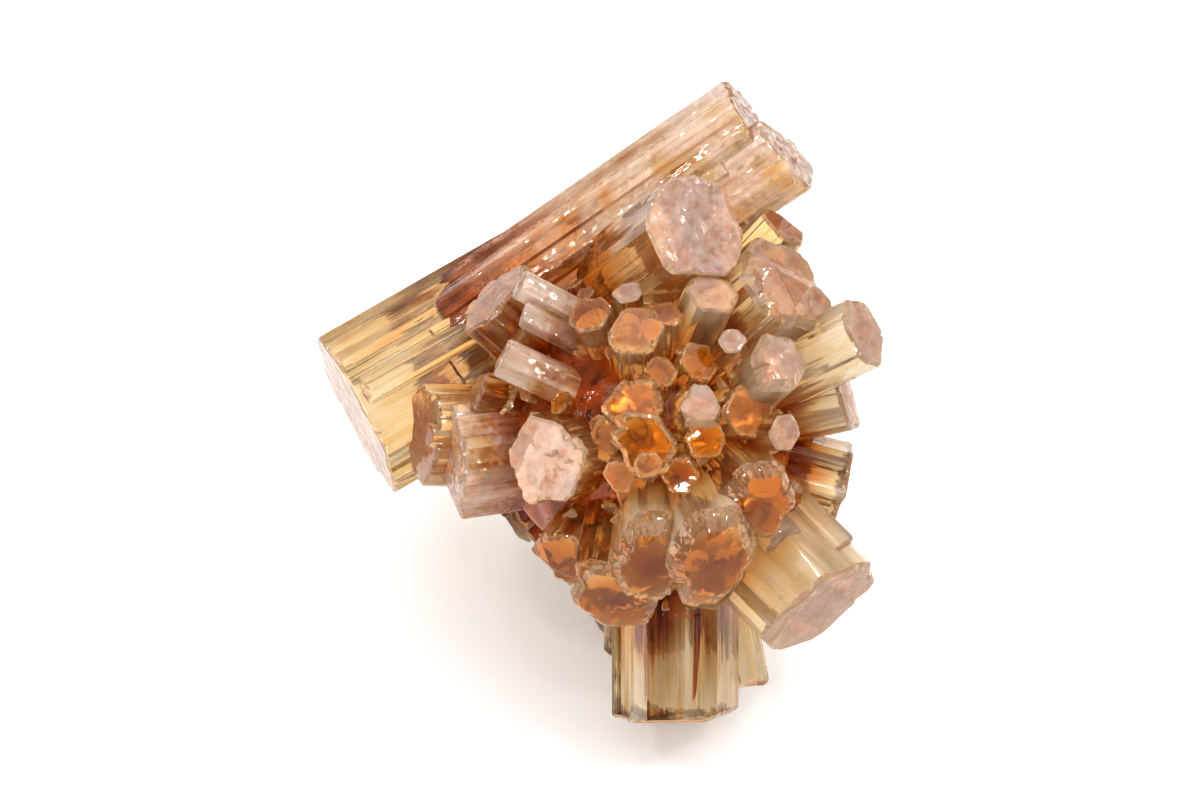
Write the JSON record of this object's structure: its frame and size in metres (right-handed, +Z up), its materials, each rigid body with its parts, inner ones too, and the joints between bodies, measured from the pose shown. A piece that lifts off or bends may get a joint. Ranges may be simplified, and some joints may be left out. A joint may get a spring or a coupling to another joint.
{
  "type": "aragonite cluster",
  "caption": "Ball of stout honey-brown six-sided aragonite crystals grown out of one heart in all directions, with flat ends and paler tips; rests on a lower crystal's end.",
  "frame": {"origin": "under the middle of the cluster's box, on the surface it rests on", "axes": "+Z up from the surface, -Y towards the side that the picture shows, +X to the right of that view"},
  "size_m": [0.043, 0.041, 0.0419],
  "materials": {
    "aragonite": "natural crystal, glossy striated sides and frosted ends"
  },
  "bodies": {
    "root": {"aragonite_cluster": "aragonite"}
  },
  "joints": []
}
